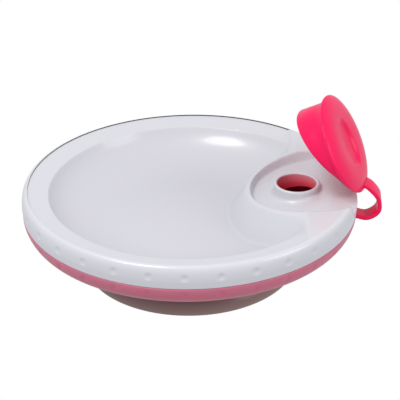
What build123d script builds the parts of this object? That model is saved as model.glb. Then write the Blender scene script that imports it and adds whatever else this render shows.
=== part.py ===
from build123d import *
import math
import os

# Warm-water suction bowl for a small child.
# A white bowl and a pink lower shell close a hot-water chamber between them. The chamber is
# filled through a short neck that stands in a recess of the rim, and shut by a hinged cap on a
# soft strap. A soft suction cup under the lower shell holds the bowl to the table.
# Frame: +Z up, origin on the table at the bowl's axis, +X towards the filler neck.
# The model is built with the cap standing open. All lengths are in millimetres.

# --- bowl outline -------------------------------------------------------------------------
WALL = 2.4              # moulded wall of both shells
SEAM_Z = 38.0           # height of the joint between bowl and lower shell
SEAM_R = 94.8           # outer radius at the joint
RIM_R = 95.0            # widest radius
RIM_Z = 42.0            # height of the widest radius
CREST_R = 91.5          # radius of the rim's highest line
CREST_Z = 50.4          # height of the rim's highest line
LEDGE_R = 80.0          # inner edge of the rim's sloping ledge
LEDGE_Z = 47.8
FLOOR_R = 40.0          # flat middle of the food floor
FLOOR_Z = 28.0

# --- island, recess and neck of the filler --------------------------------------------------
RECESS_X = 70.0         # centre of the round recess
RECESS_R = 37.0         # radius of the recess at the rim's height
RECESS_DRAFT = 14.0     # slope of the recess wall from the vertical, degrees
RECESS_FLOOR_Z = 43.3   # floor height at the neck's axis
FLOOR_SLOPE = 0.138     # rise of the recess floor towards the hinge
SPILL_X = 80.0          # where the floor turns down to the hinge side
SPILL_SLOPE = 0.231     # fall of the floor beyond it
NOSE_Z = 44.0           # top of the island's nose, over the food floor
NOSE_SLOPE = 0.21       # rise of the island's top from the nose outwards
LAND = 1.6              # width of the island's top outside the recess
ISLAND_SHIFT = 5.0      # centre of the island's nose beyond the recess's centre
ISLAND_DRAFT = 32.0     # slope of the island's side from the vertical, degrees
LAND_X = 62.0           # where the island's sides turn out to the rim
LAND_FILLET = 14.0
NECK_X = 60.8
NECK_R = 13.1
NECK_BORE = 11.2
NECK_TOP = 49.0

# --- lower shell ----------------------------------------------------------------------------
BAND_R = 88.9           # lower edge of the pink band
BAND_Z = 27.2
UNDER_R = 56.0          # start of the flat underside
UNDER_Z = 16.0
TONGUE_H = 2.2          # tongue that centres the bowl on the lower shell
TONGUE_T = 1.2
FIT = 0.15              # clearance between parts that are assembled once
SOCKET_R = 7.2          # blind socket for the suction cup's stud
SOCKET_MOUTH_R = 5.7
SOCKET_LIP = 2.0
SOCKET_H = 6.5
SOCKET_WALL = 1.8

# --- suction cup ----------------------------------------------------------------------------
CUP_R = 61.6            # lip on the table
CUP_TOP_R = 53.0        # shoulder under the lower shell
CUP_LIP = 2.2           # width of the lip's flat
CUP_WALL = 3.2
CUP_DOME = 10.5         # height of the hollow at its middle

# --- grip dimples ---------------------------------------------------------------------------
DIMPLES = 32            # dimples in each row
DIMPLE_R = 2.3
DIMPLE_DEPTH = 0.55
DIMPLE_PHASE = 9.8      # first dimple, degrees from the bowl's front
DIMPLE_TOP_Z = 44.6
DIMPLE_LOW_Z = 34.4
DIMPLE_LEAN = 8.0       # the walls lean in above and below the joint, degrees

# --- cap, in its closed place ---------------------------------------------------------------
CAP_R = 28.8
CAP_X = 69.5            # middle of the lid when it is closed
CAP_Z = 51.0            # underside of the lid there
CAP_TILT = 13.0         # the closed lid rises towards the bowl's middle
LID_EDGE = 2.0          # thickness of the lid's edge
LID_DOME = 3.8          # thickness of the lid at its crown
SKIRT_INSET = 2.8
SKIRT_WALL = 1.8
SKIRT_GAP = 0.6         # skirt's clearance over the recess floor
DISH_LONG = 15.5        # thumb dish in the lid
DISH_WIDE = 9.6
DISH_DEPTH = 0.9
PLUG_GAP = 0.5          # clearance at the plug's widest ring
PLUG_DEPTH = 3.6        # reach of the plug into the neck
PLUG_SHOULDER = 0.6     # shoulder's clearance over the neck's top
PLUG_TAPER = 1.3
PLUG_WALL = 1.6

# --- strap ------------------------------------------------------------------------------------
STRAP_W = 10.0
STRAP_T = 2.4
STRAP_Z = 29.0          # middle of the strap's pocket in the pink band
POCKET_DEPTH = 8.0      # reach of the pocket behind the band's surface
POCKET_WALL = 1.8
STRAP_PATH = [(101.5, 28.4), (107.6, 33.8), (107.0, 41.5), (99.6, 47.6)]
STRAP_END = (-1, 0.5)   # direction in which the strap meets the lid

# --- hinge: the strap's bend lets the lid swing about this line --------------------------------
HINGE = Vector(98.1, 0, 43.6)
HINGE_DIR = Vector(0.1264, 0.9393, -0.3189)
OPEN_ANGLE = 53.2       # from closed to the open rest, degrees
TOP = CREST_Z + 20      # height that clears every cut
HINGE_AXIS = Axis(HINGE, HINGE_DIR)
CLOSED = Plane((CAP_X, 0, CAP_Z)).rotated((0, CAP_TILT, 0))


def turned(*edges):
    """Solid of revolution about the bowl's axis of the outline that the edges close."""
    return revolve(Plane.XZ * make_face(Curve() + list(edges)), Axis.Z)


def chain(*points):
    """Straight edges through the points."""
    return [Line(a, b) for a, b in zip(points, points[1:])]


def crown(inset, foot):
    """Bowl blank from the height foot up to the crest, inset by a wall for the chamber."""
    seam = (SEAM_R - inset, foot)
    bulge = (RIM_R - inset, RIM_Z)
    crest = (CREST_R, CREST_Z - inset)
    return turned(
        *chain((0, foot), seam, bulge),
        Spline([bulge, crest], tangents=[(0, 1), (-1, 0)]),
        *chain(crest, (0, CREST_Z - inset), (0, foot)),
    )


def dish(grow):
    """Space over the food floor and the rim's ledge, grown by a wall for the chamber."""
    floor = (FLOOR_R, FLOOR_Z - grow)
    ledge = (LEDGE_R + grow, LEDGE_Z - grow)
    crest = (CREST_R, CREST_Z - grow)
    return turned(
        Line((0, floor[1]), floor),
        Spline([floor, ledge], tangents=[(1, 0), (0.34, 1)]),
        *chain(ledge, crest, (CREST_R, TOP), (0, TOP), (0, floor[1])),
    )


def above(points):
    """Space above the line through the points, which run outwards along X."""
    side = chain(*points, (points[-1][0], TOP), (points[0][0], TOP), points[0])
    face = Plane.XZ * make_face(Curve() + side)
    return extrude(face, RIM_R, both=True)


def island(grow):
    """Raised land that carries the recess: a round nose whose sides turn out to the rim."""
    side_x = LAND_X - grow
    plan = Pos(RECESS_X + ISLAND_SHIFT, 0) * Circle(RECESS_R + LAND + grow)
    plan += Pos(side_x, 0) * Rectangle(RIM_R, 3 * RIM_R, align=(Align.MIN, Align.CENTER))
    inner = [v for v in plan.vertices() if v.X < side_x + 0.1 and abs(v.Y) < RIM_R]
    plan = fillet(inner, LAND_FILLET)
    body = extrude(Pos(0, 0, CREST_Z) * plan, FLOOR_Z - CREST_Z - 2 * WALL, taper=-ISLAND_DRAFT)
    nose = RECESS_X - RECESS_R
    rise = (CREST_Z - NOSE_Z) / NOSE_SLOPE
    return body - above([(-RIM_R, NOSE_Z + grow), (nose, NOSE_Z + grow),
                         (nose + rise, CREST_Z + grow), (2 * RIM_R, CREST_Z + grow)])


def floor_line(lift):
    """Line of the recess floor along X, lifted by a clearance: up to the spill, then down."""
    start, end = RECESS_X - 2 * RECESS_R, RIM_R + RECESS_R
    spill_z = RECESS_FLOOR_Z + FLOOR_SLOPE * (SPILL_X - NECK_X)
    return [
        (start, RECESS_FLOOR_Z + FLOOR_SLOPE * (start - NECK_X) + lift),
        (SPILL_X, spill_z + lift),
        (end, spill_z - SPILL_SLOPE * (end - SPILL_X) + lift),
    ]


def recess(grow):
    """Round recess round the neck, with a sloping wall and a tilted floor."""
    drop = CREST_Z - NOSE_Z + RECESS_R * NOSE_SLOPE + 2 * WALL
    top = Pos(RECESS_X, 0, CREST_Z) * Circle(RECESS_R + grow)
    cone = extrude(top, -drop, taper=RECESS_DRAFT)
    cone += extrude(top, TOP - CREST_Z)
    return cone & above(floor_line(-grow))


def post(x, radius, low, high):
    """Upright round post."""
    return Pos(x, 0, low) * Cylinder(radius, high - low, align=(Align.CENTER, Align.CENTER, Align.MIN))


def dimples(radius, z, lean):
    """Row of shallow grip dimples round a skirt of the given radius; lean tips them down."""
    ball = (DIMPLE_R**2 + DIMPLE_DEPTH**2) / (2 * DIMPLE_DEPTH)
    reach = ball - DIMPLE_DEPTH
    centre_r = radius + reach * math.cos(math.radians(lean))
    centre_z = z + reach * math.sin(math.radians(lean))
    step = 360 / DIMPLES
    first = DIMPLE_PHASE - 90
    return [Rot(0, 0, first + k * step) * Pos(centre_r, 0, centre_z) * Sphere(ball)
            for k in range(DIMPLES)]


def bowl_shell():
    """White bowl: rim, food floor, island with the recess, and the filler neck."""
    low = FLOOR_Z - 2 * WALL
    blank = crown(0, SEAM_Z) + post(0, SEAM_R - WALL, low, SEAM_Z)
    food = dish(0) - island(0)
    shelled = dish(WALL) - island(-WALL)
    chamber = crown(WALL, low - WALL) - shelled - recess(WALL)
    shell = blank - food - recess(0) - chamber
    neck_foot = RECESS_FLOOR_Z - WALL
    shell += post(NECK_X, NECK_R, neck_foot, NECK_TOP)
    shell -= post(NECK_X, NECK_BORE, neck_foot - WALL, TOP)
    return shell - dimples(outer_radius(crown(0, SEAM_Z), DIMPLE_TOP_Z), DIMPLE_TOP_Z, DIMPLE_LEAN)


def lower_blank(inset):
    """Lower shell's outline filled up to the joint, inset by a wall for its inside."""
    under = (UNDER_R, UNDER_Z + inset)
    band = (BAND_R - inset, BAND_Z + inset)
    seam = (SEAM_R - inset, SEAM_Z)
    slope = (1, 0.45)
    return turned(
        Line((0, under[1]), under),
        Spline([under, band], tangents=[(1, 0), slope]),
        Spline([band, seam], tangents=[slope, (0, 1)]),
        *chain(seam, (0, SEAM_Z), (0, under[1])),
    )


def outer_radius(blank, z):
    """Largest radius of a blank at a height."""
    level = Pos(0, 0, z) * Cylinder(2 * RIM_R, FIT)
    return (blank & level).bounding_box().max.X


def strap_root():
    """Where the strap leaves the band, clear of the band's curve above it."""
    return outer_radius(lower_blank(0), STRAP_Z + STRAP_T / 2) + FIT


def strap_tongue(clearance, reach):
    """Flat tongue of the strap in the band's pocket, from the pocket's end out to reach."""
    start = strap_root() - POCKET_DEPTH - clearance
    return Pos(start, 0, STRAP_Z) * Box(
        reach - start, STRAP_W + 2 * clearance, STRAP_T + 2 * clearance,
        align=(Align.MIN, Align.CENTER, Align.CENTER))


def lower_shell():
    """Pink lower shell: band, underside, centring tongue, stud socket and strap pocket."""
    rim = SEAM_R - WALL
    shell = lower_blank(0) - lower_blank(WALL)
    tongue = post(0, SEAM_R - WALL / 2, SEAM_Z - TONGUE_H, SEAM_Z)
    tongue += post(0, rim - FIT, SEAM_Z, SEAM_Z + TONGUE_H)
    shell += tongue - post(0, rim - FIT - TONGUE_T, BAND_Z, TOP)
    shell += post(0, SOCKET_R + SOCKET_WALL, UNDER_Z, UNDER_Z + SOCKET_H + SOCKET_WALL)
    shell -= post(0, SOCKET_R, UNDER_Z + SOCKET_LIP, UNDER_Z + SOCKET_H)
    shell -= post(0, SOCKET_MOUTH_R, UNDER_Z - WALL, UNDER_Z + SOCKET_H)
    boss = strap_tongue(FIT + POCKET_WALL, RIM_R) & lower_blank(0)
    shell += boss
    shell -= strap_tongue(FIT, 2 * RIM_R)
    return shell - dimples(outer_radius(lower_blank(0), DIMPLE_LOW_Z), DIMPLE_LOW_Z, -DIMPLE_LEAN)


def suction_cup():
    """Soft cup with a thin lip, a hollow underside and a mushroom stud on top."""
    lip_in = (CUP_R - CUP_LIP, 0)
    lip_out = (CUP_R, 0)
    shoulder = (CUP_TOP_R, UNDER_Z)
    cup = turned(
        Spline([(0, CUP_DOME), lip_in], tangents=[(1, 0), (1, -0.55)]),
        Line(lip_in, lip_out),
        Spline([lip_out, shoulder], tangents=[(0.1, 1), (-0.35, 1)]),
        *chain(shoulder, (0, UNDER_Z), (0, CUP_DOME)),
    )
    stem = SOCKET_MOUTH_R - FIT
    head_low = UNDER_Z + SOCKET_LIP + FIT
    head_high = UNDER_Z + SOCKET_H - FIT
    cup += post(0, stem, UNDER_Z - CUP_WALL / 2, head_low)
    head = Cone(SOCKET_R - FIT, stem - 1, head_high - head_low,
                align=(Align.CENTER, Align.CENTER, Align.MIN))
    return cup + Pos(0, 0, head_low) * head


def strap_anchor():
    """End of the strap that is pressed into the band's pocket."""
    return strap_tongue(0, strap_root())


def cap_strap():
    """Soft strap that leaves the band, turns up in a loop and runs onto the back of the open lid."""
    root = (strap_root(), STRAP_Z)
    path = Plane.XZ * Spline([root, *STRAP_PATH], tangents=[(1, 0), STRAP_END])
    section = Plane(path @ 0, x_dir=(0, 1, 0), z_dir=path % 0) * Rectangle(STRAP_W, STRAP_T)
    return sweep(section, path) - opened(lid_disc(FIT))


def opened(part):
    """The part swung from its closed place to the open rest."""
    return part.rotate(HINGE_AXIS, OPEN_ANGLE)


def lid_disc(grow):
    """Round domed disc of the lid in its closed place, grown by a clearance."""
    edge = (CAP_R + grow, LID_EDGE + grow)
    crown_z = LID_DOME + grow
    return CLOSED * turned(
        *chain((0, -grow), (edge[0], -grow), edge),
        Spline([edge, (0, crown_z)], tangents=[(-0.6, 0.5), (-1, 0)]),
        Line((0, crown_z), (0, -grow)),
    )


def cap_lid():
    """Round domed lid with a thumb dish and a skirt that follows the recess floor."""
    lid = lid_disc(0)
    dish_floor = CLOSED * Pos(0, 0, LID_DOME - DISH_DEPTH)
    lid -= extrude(dish_floor * Ellipse(DISH_LONG, DISH_WIDE), 2 * LID_DOME)
    outer = CAP_R - SKIRT_INSET
    ring = CLOSED * (Circle(outer) - Circle(outer - SKIRT_WALL))
    skirt = extrude(ring, -CAP_R) & above(floor_line(SKIRT_GAP))
    return lid + skirt


def cap_plug():
    """Hollow tapered plug under the lid that shuts the neck."""
    under_lid = extrude(CLOSED * Circle(2 * CAP_R), -2 * CAP_R)
    seat = NECK_TOP + PLUG_SHOULDER
    radius = NECK_BORE - PLUG_GAP
    plug = post(NECK_X, NECK_R, seat, TOP)
    cone = Cone(radius - PLUG_TAPER, radius, PLUG_DEPTH + PLUG_SHOULDER,
                align=(Align.CENTER, Align.CENTER, Align.MIN))
    plug += Pos(NECK_X, 0, NECK_TOP - PLUG_DEPTH) * cone
    plug -= post(NECK_X, radius - PLUG_TAPER - PLUG_WALL, NECK_TOP - 2 * PLUG_DEPTH, seat)
    return plug & under_lid


def main():
    os.makedirs("parts", exist_ok=True)
    nodes = {
        "bowl_shell": bowl_shell(),
        "lower_shell": lower_shell(),
        "suction_cup": suction_cup(),
        "strap_anchor": strap_anchor(),
        "cap_strap": cap_strap(),
        "cap_lid": opened(cap_lid()),
        "cap_plug": opened(cap_plug()),
    }
    for name, solid in nodes.items():
        export_step(solid, f"parts/{name}.step")


main()
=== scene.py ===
import math

import bpy
import numpy as np
from mathutils import Matrix, Vector


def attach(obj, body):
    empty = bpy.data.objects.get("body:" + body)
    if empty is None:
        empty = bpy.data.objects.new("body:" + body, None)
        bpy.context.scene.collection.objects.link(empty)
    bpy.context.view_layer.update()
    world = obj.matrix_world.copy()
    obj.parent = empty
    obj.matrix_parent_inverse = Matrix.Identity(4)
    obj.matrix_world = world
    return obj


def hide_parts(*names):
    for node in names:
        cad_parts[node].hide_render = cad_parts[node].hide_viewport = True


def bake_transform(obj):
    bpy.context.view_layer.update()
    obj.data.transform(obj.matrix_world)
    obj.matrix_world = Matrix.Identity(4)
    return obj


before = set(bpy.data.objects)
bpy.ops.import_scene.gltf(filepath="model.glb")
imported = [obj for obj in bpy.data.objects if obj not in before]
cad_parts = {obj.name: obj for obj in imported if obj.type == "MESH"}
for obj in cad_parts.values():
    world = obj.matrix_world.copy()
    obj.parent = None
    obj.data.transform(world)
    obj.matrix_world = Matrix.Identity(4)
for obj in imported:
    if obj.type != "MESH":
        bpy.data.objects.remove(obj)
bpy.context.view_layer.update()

# Lengths are in millimetres up to the meshes, which are in metres. +X points to the filler neck.
MM = 0.001

# white bowl
SEAM_Z, SEAM_R = 38.0, 94.8
SEAM_GAP = 0.05             # half the line between the white and the pink shell
SEAM_ROUND = 0.5
RIM_R, RIM_Z = 95.0, 42.0
CREST_R, CREST_Z = 91.5, 50.4
FLOOR_R, FLOOR_Z = 40.0, 28
LEDGE_R, LEDGE_Z, LEDGE_SLOPE = 80.0, 47.8, 0.226
DISH_WALL_END = (0.34, 1)   # direction in which the dish's wall reaches the ledge
RECESS_X, RECESS_R, RECESS_DRAFT = 70.0, 37.0, 14
RECESS_FLOOR_Z, FLOOR_SLOPE = 43.3, 0.138
SPILL_X, SPILL_Z, SPILL_SLOPE = 80, 45.95, 0.231
ISLAND_SHIFT, LAND, LAND_X, ISLAND_DRAFT = 5, 1.6, 62, 32
NOSE_Z, NOSE_SLOPE = 44.0, 0.21
NECK_X, NECK_R, NECK_BORE, NECK_TOP = 60.8, 13.1, 11.2, 49.0
NECK_HIGH, NECK_STRAIGHT, NECK_FLARE = 5.7, 5.0, 2.0

# widths over which surfaces are rounded into each other
LEDGE_BLEND, FOOT_BLEND, LAND_BLEND, TOP_BLEND = 2.5, 2.2, 13.0, 1.6
SPILL_BLEND, RECESS_FOOT_BLEND, RIDGE_BLEND = 1.5, 3.0, 1.1

# grip dimples, in one row on each shell
DIMPLES, DIMPLE_R, DIMPLE_DEPTH, DIMPLE_PHASE = 32, 2.3, 0.55, 9.8
DIMPLE_TOP_Z, DIMPLE_LOW_Z, DIMPLE_LOW_R, DIMPLE_LEAN = 44.6, 34.4, 94.3, 8
STEPS_PER_DIMPLE = 26

# pink lower shell and suction cup
BAND_R, BAND_Z, BAND_SLOPE = 88.9, 27.2, (1, 0.45)
UNDER_R, UNDER_Z, WALL = 56, 16, 2.4
SEAT_R = 92.2               # inner edge of the lower shell's top face
CUP_R, CUP_TOP_R, CUP_LIP_R, CUP_DOME, CUP_ROUND = 61.6, 53, 59.4, 10.5, 0.3

# cap, in its closed place, and its hinge
CAP_R, CAP_TILT, CAP_X, CAP_Z = 28.8, 13.0, 69.5, 51.0
LID_DOME, LID_BROW = 3.8, 2.2
SKIRT_OUT, SKIRT_IN, SKIRT_GAP, SKIRT_ROUND = CAP_R - 2.8, CAP_R - 4.6, 0.6, 0.3
DISH_LONG, DISH_WIDE, DISH_DEPTH = 15.5, 9.6, 1.5
PLUG_SEAT, PLUG_R, PLUG_END_R, PLUG_END, PLUG_HOLLOW_R = 49.6, 10.7, 9.4, 45.6, 7.8
HINGE = np.array([98.1, 0.0, 43.6])
HINGE_DIR = np.array([0.1264, 0.9393, -0.3189])
OPEN_ANGLE = 53.2
LID_SIDE = np.array([0.303, 0.953, -0.019])     # the open lid's own width direction

# strap: middle line in the XZ plane from the pocket to the lid's back, and its section
STRAP_PATH = [(84.5, 29.0), (93.5, 29.0), (101.8, 27.4), (108.0, 31.8), (107.8, 39.6),
              (103.2, 45.8), (99.4, 48.6)]
STRAP_STEPS = 73
STRAP_HALF_W, STRAP_HALF_T, STRAP_ROUND = 5.0, 1.2, 0.7


def smooth(x, low, high):
    """Smooth step: t = (x - low) / (high - low) held to 0..1, then 3 t^2 - 2 t^3."""
    t = np.clip((x - low) / (high - low), 0, 1)
    return t * t * (3 - 2 * t)


def soft_min(a, b, k):
    """Smaller of a and b, rounded over a width k: h = 0.5 + (b - a) / 2k held to 0..1, then the
    mix of b and a by h, less k h (1 - h)."""
    h = np.clip(0.5 + 0.5 * (b - a) / k, 0, 1)
    return b + (a - b) * h - k * h * (1 - h)


def soft_max(a, b, k):
    """Larger of a and b, rounded over a width k."""
    return -soft_min(-a, -b, k)


def curve(p, tp, q, tq, n):
    """n points of the cubic from p along tp to q along tq; both tangents are as long as the chord."""
    p, q, tp, tq = (np.array(v, float) for v in (p, q, tp, tq))
    chord = np.linalg.norm(q - p)
    tp, tq = tp * chord / np.linalg.norm(tp), tq * chord / np.linalg.norm(tq)
    t = np.linspace(0, 1, n)[:, None]
    return ((2 * t**3 - 3 * t**2 + 1) * p + (t**3 - 2 * t**2 + t) * tp
            + (3 * t**2 - 2 * t**3) * q + (t**3 - t**2) * tq)


def line(p, q, n):
    """n points along the straight line from p to q."""
    t = np.linspace(0, 1, n)[:, None]
    return np.array(p, float) * (1 - t) + np.array(q, float) * t


def joined(*runs):
    """Runs of points one after another, without the points that they share."""
    out = [runs[0]]
    for run in runs[1:]:
        out.append(run[1:] if np.allclose(out[-1][-1], run[0], atol=1e-6) else run)
    return np.concatenate(out)


def grid_faces(rows, cols):
    """Quads of a grid of rows by cols points, whose columns close into a ring."""
    i, j = np.meshgrid(np.arange(rows - 1), np.arange(cols), indexing="ij")
    k = (j + 1) % cols
    corners = [i * cols + j, i * cols + k, (i + 1) * cols + k, (i + 1) * cols + j]
    return np.stack(corners, -1).reshape(-1, 4)


def mesh(name, points, faces, material):
    """Smooth-shaded mesh object from points in millimetres and faces."""
    data = bpy.data.meshes.new(name)
    vertices = (np.asarray(points).reshape(-1, 3) * MM).tolist()
    data.from_pydata(vertices, [], [list(map(int, face)) for face in faces])
    data.validate()
    data.polygons.foreach_set("use_smooth", [True] * len(data.polygons))
    data.materials.append(material)
    obj = bpy.data.objects.new(name, data)
    bpy.context.scene.collection.objects.link(obj)
    return obj


def lathe(profile, angles):
    """Points of a profile of (radius, height) turned about Z; rows follow the profile."""
    r, z = profile[:, 0][:, None], profile[:, 1][:, None]
    return np.stack([r * np.cos(angles), r * np.sin(angles), z + 0 * angles], -1)


def ring(n):
    """n angles round a full turn."""
    return np.linspace(0, 2 * math.pi, n, endpoint=False)


# --- white bowl ---------------------------------------------------------------------------------

def recess_floor(x):
    """Floor of the recess: rises outwards to the spill line, then falls to the hinge side; the
    smaller of the two slopes, rounded."""
    rising = RECESS_FLOOR_Z + FLOOR_SLOPE * (x - NECK_X)
    falling = SPILL_Z - SPILL_SLOPE * (x - SPILL_X)
    return soft_min(rising, falling, SPILL_BLEND)


def recess_height(x, y):
    """Floor and wall of the round recess: the wall leaves the recess's radius at the crest's
    height and leans in by its draft; the larger of the two, rounded at the foot."""
    out = np.hypot(x - RECESS_X, y) - RECESS_R
    wall = CREST_Z + out / math.tan(math.radians(RECESS_DRAFT))
    return soft_max(recess_floor(x), wall, RECESS_FOOT_BLEND)


def island_height(x, y):
    """Island that carries the recess: its top rises from the nose to the crest's height; its side
    falls from a round nose, a land wider than the recess, and from the line x = LAND_X."""
    nose = np.hypot(x - RECESS_X - ISLAND_SHIFT, y) - RECESS_R - LAND
    out = soft_min(nose, LAND_X - x, LAND_BLEND)
    top = np.minimum(NOSE_Z + NOSE_SLOPE * (x - RECESS_X + RECESS_R), CREST_Z)
    return soft_min(top, CREST_Z - out / math.tan(math.radians(ISLAND_DRAFT)), TOP_BLEND)


def dimpled(points, lean, z, radius):
    """Presses a row of round dimples into a wall: depth (1 - (s / R)^2)^1.5 times the full depth at
    the distance s from the nearest dimple's middle, along the wall's normal, which leans up by lean
    degrees. R is 1.05 times the dimple's radius."""
    angle = np.arctan2(points[..., 1], points[..., 0])
    step = 2 * math.pi / DIMPLES
    first = math.radians(DIMPLE_PHASE - 90)
    off = (angle - first + step / 2) % step - step / 2
    s2 = (off * radius) ** 2 + (points[..., 2] - z) ** 2
    depth = DIMPLE_DEPTH * np.clip(1 - s2 / (DIMPLE_R * 1.05) ** 2, 0, 1) ** 1.5
    lean = math.radians(lean)
    points[..., 0] -= depth * np.cos(angle) * math.cos(lean)
    points[..., 1] -= depth * np.sin(angle) * math.cos(lean)
    points[..., 2] -= depth * math.sin(lean)
    return points


def bowl_top(material):
    """Food floor, ledge, island and recess as one height field over (radius, angle)."""
    fine_to = 58            # the island lies within this angle, degrees
    near = np.radians(np.arange(-fine_to, fine_to, 0.5))
    far = np.radians(np.arange(fine_to, 360 - fine_to, 2.0))
    angles = np.concatenate([near, far])
    plain = joined(
        line((2, FLOOR_Z), (FLOOR_R / 2, FLOOR_Z), 8),
        line((FLOOR_R / 2, FLOOR_Z), (FLOOR_R, FLOOR_Z), 36),
        curve((FLOOR_R, FLOOR_Z), (1, 0), (LEDGE_R, LEDGE_Z), DISH_WALL_END, 110),
        line((LEDGE_R, LEDGE_Z), (CREST_R, CREST_Z), 26))
    p = lathe(plain, angles)
    x, y, z = p[..., 0], p[..., 1], p[..., 2]
    r = np.hypot(x, y)
    ledge = soft_min(z, LEDGE_Z + (r - LEDGE_R) * LEDGE_SLOPE, LEDGE_BLEND)
    z = np.where(r > LEDGE_R - 20, ledge, z)
    z = np.minimum(soft_max(z, island_height(x, y), FOOT_BLEND), CREST_Z)
    p[..., 2] = soft_min(z, recess_height(x, y), RIDGE_BLEND)
    faces = grid_faces(len(plain), len(angles))
    middle = p.reshape(-1, 3)[faces].mean(1)
    faces = faces[np.hypot(middle[:, 0] - NECK_X, middle[:, 1]) > (NECK_R + NECK_BORE) / 2]
    points = np.concatenate([p.reshape(-1, 3), [[0, 0, FLOOR_Z]]])
    hub = [[len(points) - 1, j, (j + 1) % len(angles)] for j in range(len(angles))]
    return mesh("bowl_top", points, faces[:, ::-1].tolist() + hub, material)


def bowl_skirt(material):
    """Outer wall from the crest over the widest line down to the joint, with its dimples."""
    wall = joined(
        curve((CREST_R, CREST_Z), (1, 0), (RIM_R, RIM_Z), (0, -1), 40),
        line((RIM_R, RIM_Z), (SEAM_R, SEAM_Z + SEAM_ROUND), 12),
        curve((SEAM_R, SEAM_Z + SEAM_ROUND), (0, -1),
              (SEAM_R - SEAM_ROUND, SEAM_Z + SEAM_GAP), (-1, 0), 4),
        line((SEAM_R - SEAM_ROUND, SEAM_Z + SEAM_GAP), (SEAM_R - 2.2, SEAM_Z + SEAM_GAP), 3))
    angles = ring(DIMPLES * STEPS_PER_DIMPLE)
    p = lathe(wall, angles)
    z = p[..., 2]
    lowered = soft_min(z, recess_height(p[..., 0], p[..., 1]), RIDGE_BLEND)
    p[..., 2] = np.where(z > RIM_Z - 1, lowered, z)
    p = dimpled(p, DIMPLE_LEAN, DIMPLE_TOP_Z, RIM_R)
    faces = grid_faces(len(wall), len(angles))[:, ::-1]
    return mesh("bowl_skirt", p, faces, material)


def neck(name, inside, material):
    """Filler neck, its outside with a flared foot on the tilted floor and a round lip, or its bore
    down to the chamber, whose white wall carries painted pink light: the lit pink shell's glow and
    bounce."""
    angles = ring(160)
    lip = (NECK_R - (NECK_R - NECK_BORE) / 2, NECK_HIGH)
    outside = joined(
        curve((NECK_R + NECK_FLARE, 0), (-1, 0), (NECK_R, NECK_FLARE), (0, 1), 8),
        line((NECK_R, NECK_FLARE), (NECK_R, NECK_STRAIGHT), 4),
        curve((NECK_R, NECK_STRAIGHT), (0, 1), lip, (-1, 0), 6),
        curve(lip, (-1, 0), (NECK_BORE, NECK_STRAIGHT), (0, -1), 6))
    bored = line((NECK_BORE, NECK_STRAIGHT), (NECK_BORE, -3.0), 8)
    profile = bored if inside else outside
    p = lathe(profile, angles)
    foot = recess_floor(p[..., 0] + NECK_X)
    share = np.clip(p[..., 2] / NECK_STRAIGHT, 0, 1)
    level = NECK_TOP - NECK_HIGH
    p[..., 2] += foot * (1 - share) + level * share
    p[..., 0] += NECK_X
    return mesh(name, p, grid_faces(len(profile), len(angles)), material)


# --- pink lower shell and suction cup -----------------------------------------------------------

def lower_shell(material):
    """Band with its dimples, sloping underside and the chamber's inner wall, turned as one."""
    edge = (SEAM_R, SEAM_Z - SEAM_ROUND)
    lip = (SEAM_R - SEAM_ROUND, SEAM_Z - SEAM_GAP)
    inner_band = (BAND_R - WALL, BAND_Z + WALL)
    back = (-BAND_SLOPE[0], -BAND_SLOPE[1])
    outer = joined(
        line((0.5, UNDER_Z), (UNDER_R, UNDER_Z), 6),
        curve((UNDER_R, UNDER_Z), (1, 0), (BAND_R, BAND_Z), BAND_SLOPE, 36),
        curve((BAND_R, BAND_Z), BAND_SLOPE, edge, (0, 1), 60),
        curve(edge, (0, 1), lip, (-1, 0), 4),
        line(lip, (SEAT_R, SEAM_Z - SEAM_GAP), 2))
    inner = joined(
        curve((SEAT_R, SEAM_Z), (0, -1), inner_band, back, 16),
        curve(inner_band, back, (UNDER_R, UNDER_Z + WALL), (-1, 0), 16),
        line((UNDER_R, UNDER_Z + WALL), (0.5, UNDER_Z + WALL), 4))
    wall = np.concatenate([outer, inner])
    p = lathe(wall, ring(DIMPLES * STEPS_PER_DIMPLE))
    p[:len(outer)] = dimpled(p[:len(outer)], -DIMPLE_LEAN, DIMPLE_LOW_Z, DIMPLE_LOW_R)
    return mesh("pink_shell", p, grid_faces(*p.shape[:2]), material)


def suction_cup(material):
    """Soft cup: hollow underside, flat lip, flared wall and top plate, turned as one."""
    rounded = (CUP_R, CUP_ROUND)
    wall = joined(
        curve((0.3, CUP_DOME), (1, 0), (CUP_LIP_R, 0), (1, -0.55), 40),
        line((CUP_LIP_R, 0), (CUP_R - CUP_ROUND, 0), 3),
        curve((CUP_R - CUP_ROUND, 0), (1, 0), rounded, (0, 1), 4),
        curve(rounded, (0.1, 1), (CUP_TOP_R, UNDER_Z), (-0.35, 1), 36),
        line((CUP_TOP_R, UNDER_Z), (0.3, UNDER_Z), 3))
    p = lathe(wall, ring(256))
    return mesh("suction_base", p, grid_faces(*p.shape[:2]), material)


# --- cap and strap ------------------------------------------------------------------------------

def turn_about_hinge(points, degrees):
    """Rotation about the hinge's line by Rodrigues' formula."""
    axis = HINGE_DIR / np.linalg.norm(HINGE_DIR)
    a = math.radians(degrees)
    v = points - HINGE
    cross = np.cross(np.broadcast_to(axis, v.shape), v)
    along = (v @ axis)[..., None] * axis
    return HINGE + v * math.cos(a) + cross * math.sin(a) + along * (1 - math.cos(a))


def closed_place(local):
    """Points of the lid's own frame in the bowl's frame with the cap shut."""
    t = math.radians(CAP_TILT)
    x_dir = np.array([math.cos(t), 0, -math.sin(t)])
    z_dir = np.array([math.sin(t), 0, math.cos(t)])
    middle = np.array([CAP_X, 0, CAP_Z])
    return (middle + local[..., :1] * x_dir + local[..., 1:2] * np.array([0, 1.0, 0])
            + local[..., 2:] * z_dir)


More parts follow.
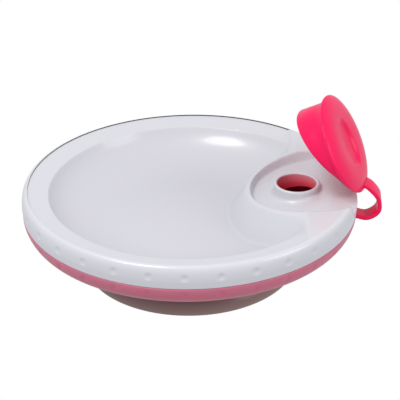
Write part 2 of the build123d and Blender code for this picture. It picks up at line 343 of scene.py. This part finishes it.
def skirt_depth(radius, angles):
    """Reach of the skirt below the lid: down to a gap over the recess floor, along the lid's axis.
    Each pass lengthens it by the height left over, divided by the cosine of the lid's tilt."""
    x, y = radius * np.cos(angles), radius * np.sin(angles)
    depth = np.zeros_like(angles)
    for _ in range(6):
        p = closed_place(np.stack([x, y, -depth], -1))
        left = p[..., 2] - recess_floor(p[..., 0]) - SKIRT_GAP
        depth += left / math.cos(math.radians(CAP_TILT))
    return np.clip(depth, 0.4, None)


def lid(material):
    """Lid: domed top with an oval thumb dish, round edge, flat underside and skirt, as one skin."""
    angles = ring(256)
    brow = (0.8, -0.45)
    top = curve((0.2, LID_DOME), (1, 0), (CAP_R - 0.7, LID_BROW), brow, 70)
    edge = joined(
        curve(top[-1], brow, (CAP_R, 1.3), (0, -1), 7),
        curve((CAP_R, 1.3), (0, -1), (CAP_R - 0.9, 0.15), (-1, 0), 7),
        line((CAP_R - 0.9, 0.15), (SKIRT_OUT + 0.3, 0.1), 3))
    p = lathe(joined(top, edge), angles)
    q = np.hypot(p[..., 0] / DISH_LONG, p[..., 1] / DISH_WIDE)
    is_top = (np.arange(p.shape[0]) < len(top))[:, None]
    p[..., 2] -= np.where(is_top, DISH_DEPTH * (1 - smooth(q, 0.72, 1.0)), 0)
    depth = skirt_depth(SKIRT_OUT, angles)
    rounded = 0.35
    # radius, share of the skirt's depth, and how far the row stays above that depth
    skirt_rows = [(SKIRT_OUT, 0.0, 0.0), (SKIRT_OUT, 0.3, 0.0), (SKIRT_OUT, 0.6, 0.0),
                  (SKIRT_OUT, 1.0, rounded), (SKIRT_OUT - SKIRT_ROUND, 1.0, 0.0),
                  (SKIRT_IN + SKIRT_ROUND, 1.0, 0.0), (SKIRT_IN, 1.0, rounded),
                  (SKIRT_IN, 0.5, 0.0), (SKIRT_IN, 0.0, 0.0), (0.2, 0.0, 0.0)]
    rows = [p]
    for radius, share, lift in skirt_rows:
        z = -np.maximum(depth * share - lift, 0)
        rows.append(np.stack([radius * np.cos(angles), radius * np.sin(angles), z], -1)[None])
    p = turn_about_hinge(closed_place(np.concatenate(rows)), OPEN_ANGLE)
    return mesh("cap_disc", p, grid_faces(*p.shape[:2])[:, ::-1], material)


def plug(material):
    """Plug under the lid: shoulder over the neck and the hollow tapered wall inside it."""
    fillet = 0.2
    inside = PLUG_HOLLOW_R + fillet
    profile = joined(
        line((NECK_R, 60), (NECK_R, PLUG_SEAT + fillet), 3),
        line((NECK_R - fillet, PLUG_SEAT), (PLUG_R, PLUG_SEAT), 3),
        line((PLUG_R, PLUG_SEAT), (PLUG_END_R, PLUG_END), 4),
        line((PLUG_END_R - fillet, PLUG_END - fillet), (inside, PLUG_END - fillet), 2),
        line((PLUG_HOLLOW_R, PLUG_END), (PLUG_HOLLOW_R, PLUG_SEAT), 3),
        line((PLUG_HOLLOW_R, PLUG_SEAT), (0.2, PLUG_SEAT), 2))
    p = lathe(profile, ring(96))
    p[..., 0] += NECK_X
    lid_under = CAP_Z - math.tan(math.radians(CAP_TILT)) * (p[..., 0] - CAP_X)
    p[..., 2] = np.minimum(p[..., 2], lid_under - 0.02)
    p = turn_about_hinge(p, OPEN_ANGLE)
    return mesh("cap_plug_skin", p, grid_faces(*p.shape[:2])[:, ::-1], material)


def strap(material):
    """Strap swept along a smooth path from its pocket to the lid's back; its width turns from the
    bowl's Y direction to the lid's own. The path is a Catmull-Rom curve: between knots b and c,
    with a and d beyond them, 0.5 (2b + (c - a) u + (2a - 5b + 4c - d) u^2 + (3b - a - 3c + d) u^3)."""
    knots = np.array(STRAP_PATH)
    t = np.linspace(0, len(knots) - 1, STRAP_STEPS)
    i = np.clip(t.astype(int), 0, len(knots) - 2)
    u = (t - i)[:, None]
    grown = np.concatenate([[2 * knots[0] - knots[1]], knots, [2 * knots[-1] - knots[-2]]])
    a, b, c, d = grown[i], grown[i + 1], grown[i + 2], grown[i + 3]
    path = 0.5 * (2 * b + (c - a) * u + (2 * a - 5 * b + 4 * c - d) * u**2
                  + (3 * b - a - 3 * c + d) * u**3)
    ahead = np.gradient(path, axis=0)
    ahead /= np.linalg.norm(ahead, axis=1)[:, None]
    share = smooth(t, 2.5, 5.5)[:, None]
    wide = (1 - share) * np.array([0, 1.0, 0]) + share * LID_SIDE
    wide /= np.linalg.norm(wide, axis=1)[:, None]
    along = np.stack([ahead[:, 0], 0 * ahead[:, 0], ahead[:, 1]], -1)
    thick = np.cross(along, wide)
    thick /= np.linalg.norm(thick, axis=1)[:, None]
    r = STRAP_ROUND
    w, h = STRAP_HALF_W - r, STRAP_HALF_T - r
    section = [(cx + r * math.cos(math.radians(start + k)), cy + r * math.sin(math.radians(start + k)))
               for cx, cy, start in ((w, h, 0), (-w, h, 90), (-w, -h, 180), (w, -h, 270))
               for k in (0, 22.5, 45, 67.5, 90)]
    middle = np.stack([path[:, 0], 0 * path[:, 0], path[:, 1]], -1)
    p = np.stack([middle + wide * cx + thick * cy for cx, cy in section], 1)
    n = len(section)
    last = len(p) * n
    ends = [list(range(n)), list(range(last - 1, last - 1 - n, -1))]
    return mesh("strap_skin", p, grid_faces(len(p), n).tolist() + ends, material)


# --- materials ----------------------------------------------------------------------------------

def surface(name, low, high, z_low, z_high, roughness, coat, see_through=0.0, speckle=0.02,
            specular=0.5):
    """Node material in Object coordinates: colour runs from low to high between two heights, and
    roughness has a faint noise. see_through is the share of light that passes through the wall."""
    mat = bpy.data.materials.new(name)
    mat.use_nodes = True
    nodes, links = mat.node_tree.nodes, mat.node_tree.links
    nodes.clear()
    out = nodes.new("ShaderNodeOutputMaterial")
    bsdf = nodes.new("ShaderNodeBsdfPrincipled")
    coords = nodes.new("ShaderNodeTexCoord")
    split = nodes.new("ShaderNodeSeparateXYZ")
    height = nodes.new("ShaderNodeMapRange")
    height.inputs["From Min"].default_value = z_low * MM
    height.inputs["From Max"].default_value = z_high * MM
    colour = nodes.new("ShaderNodeMix")
    colour.data_type = "RGBA"
    colour.inputs[6].default_value = (*low, 1)
    colour.inputs[7].default_value = (*high, 1)
    noise = nodes.new("ShaderNodeTexNoise")
    noise.inputs["Scale"].default_value = 60
    rough = nodes.new("ShaderNodeMapRange")
    rough.inputs["To Min"].default_value = roughness - speckle
    rough.inputs["To Max"].default_value = roughness + speckle
    links.new(coords.outputs["Object"], split.inputs[0])
    links.new(split.outputs["Z"], height.inputs["Value"])
    links.new(height.outputs["Result"], colour.inputs[0])
    links.new(coords.outputs["Object"], noise.inputs["Vector"])
    links.new(noise.outputs[0], rough.inputs["Value"])
    links.new(rough.outputs["Result"], bsdf.inputs["Roughness"])
    links.new(colour.outputs[2], bsdf.inputs["Base Color"])
    lit_through = nodes.new("ShaderNodeBsdfTranslucent")
    mixed = nodes.new("ShaderNodeMixShader")
    mixed.inputs[0].default_value = see_through
    links.new(colour.outputs[2], lit_through.inputs["Color"])
    links.new(bsdf.outputs[0], mixed.inputs[1])
    links.new(lit_through.outputs[0], mixed.inputs[2])
    links.new(mixed.outputs[0], out.inputs["Surface"])
    bsdf.inputs["Coat Weight"].default_value = coat
    bsdf.inputs["Specular IOR Level"].default_value = specular
    bsdf.inputs["Coat Roughness"].default_value = 0.06
    return mat


# the white is darker towards the dish floor and lighter towards the crest: painted shade in the hollow
white = surface("white_gloss", (0.58, 0.575, 0.605), (0.62, 0.62, 0.645), 28, 50, 0.3, 0.25)
# the bore's colour is painted pink light from the lit pink chamber on a white wall, deeper red lower
# down
painted_pink_light = surface("bore_painted_pink_light", (0.80, 0.05, 0.09), (0.85, 0.30, 0.36), 42, 48.6, 0.35, 0.1)
# the pink band is darker towards its bottom: painted shade on its underside, lighter where it faces up
band = surface("muted_pink", (0.62, 0.11, 0.18), (0.74, 0.20, 0.30), 24, 38, 0.33, 0.15,
               see_through=0.25)
# the smoky cup is darker towards its top: painted shadow under the overhanging pink shell
smoke = surface("smoky_rubber", (0.36, 0.24, 0.22), (0.20, 0.11, 0.10), 0, 12, 0.35, 0.2,
                see_through=0.25)
hot = surface("hot_pink", (0.86, 0.004, 0.085), (0.88, 0.006, 0.10), 30, 98, 0.3, 0.05,
              specular=0.22)

top = bowl_top(white)
skirt = bowl_skirt(white)
spout = neck("filler_neck", False, white)
bore = neck("filler_bore", True, painted_pink_light)
under = lower_shell(band)
base = suction_cup(smoke)
disc = lid(hot)
stopper = plug(hot)
loop = strap(hot)

for piece in (top, skirt, spout, bore, under, base):
    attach(piece, "bowl")
for piece in (disc, stopper):
    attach(piece, "cap")
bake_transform(loop)
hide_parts("bowl_shell")
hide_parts("lower_shell")
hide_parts("suction_cup")
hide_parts("cap_lid")
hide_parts("cap_plug")
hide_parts("cap_strap", "strap_anchor")

# --- light, background and camera ---------------------------------------------------------------

def area_light(name, place, target, size, power, colour):
    """Soft area light that faces the target."""
    data = bpy.data.lights.new(name, "AREA")
    data.shape = "DISK"
    data.size = size
    data.energy = power
    data.color = colour
    obj = bpy.data.objects.new(name, data)
    obj.location = place
    obj.rotation_euler = (Vector(target) - Vector(place)).to_track_quat("-Z", "Y").to_euler()
    bpy.context.scene.collection.objects.link(obj)
    return obj


area_light("key", (-0.35, -0.35, 0.85), (0, 0, 0.03), 0.45, 5.0, (1, 1, 1))
area_light("fill", (0.75, -0.35, 0.45), (0, 0, 0.04), 0.5, 2.0, (1, 1, 1))

world = bpy.data.worlds.new("studio")
world.use_nodes = True
wn, wl = world.node_tree.nodes, world.node_tree.links
wn.clear()
world_out = wn.new("ShaderNodeOutputWorld")
seen = wn.new("ShaderNodeBackground")
seen.inputs["Color"].default_value = (1, 1, 1, 1)
seen.inputs["Strength"].default_value = 1.0
glow = wn.new("ShaderNodeBackground")
glow.inputs["Color"].default_value = (0.94, 0.95, 1.0, 1)
glow.inputs["Strength"].default_value = 0.72
path_kind = wn.new("ShaderNodeLightPath")
pick = wn.new("ShaderNodeMixShader")
wl.new(path_kind.outputs["Is Camera Ray"], pick.inputs[0])
wl.new(glow.outputs[0], pick.inputs[1])
wl.new(seen.outputs[0], pick.inputs[2])
wl.new(pick.outputs[0], world_out.inputs["Surface"])
scene = bpy.context.scene
scene.world = world
scene.view_settings.view_transform = "Standard"

ELEVATION, ROLL, DISTANCE = math.radians(28.3), -0.01149, 0.6742
aim = Vector((0.005815, 0, 0.038124))
ahead = Vector((0, math.cos(ELEVATION), -math.sin(ELEVATION)))
right = Vector((1, 0, 0))
up = right.cross(ahead)
turned_right = right * math.cos(ROLL) + up * math.sin(ROLL)
turned_up = -right * math.sin(ROLL) + up * math.cos(ROLL)
lens = bpy.data.cameras.new("camera")
lens.lens = 106.06
lens.sensor_width = 36
camera = bpy.data.objects.new("camera", lens)
facing = Matrix((turned_right, turned_up, -ahead)).transposed().to_4x4()
camera.matrix_world = Matrix.Translation(aim - ahead * DISTANCE) @ facing
scene.collection.objects.link(camera)
scene.camera = camera
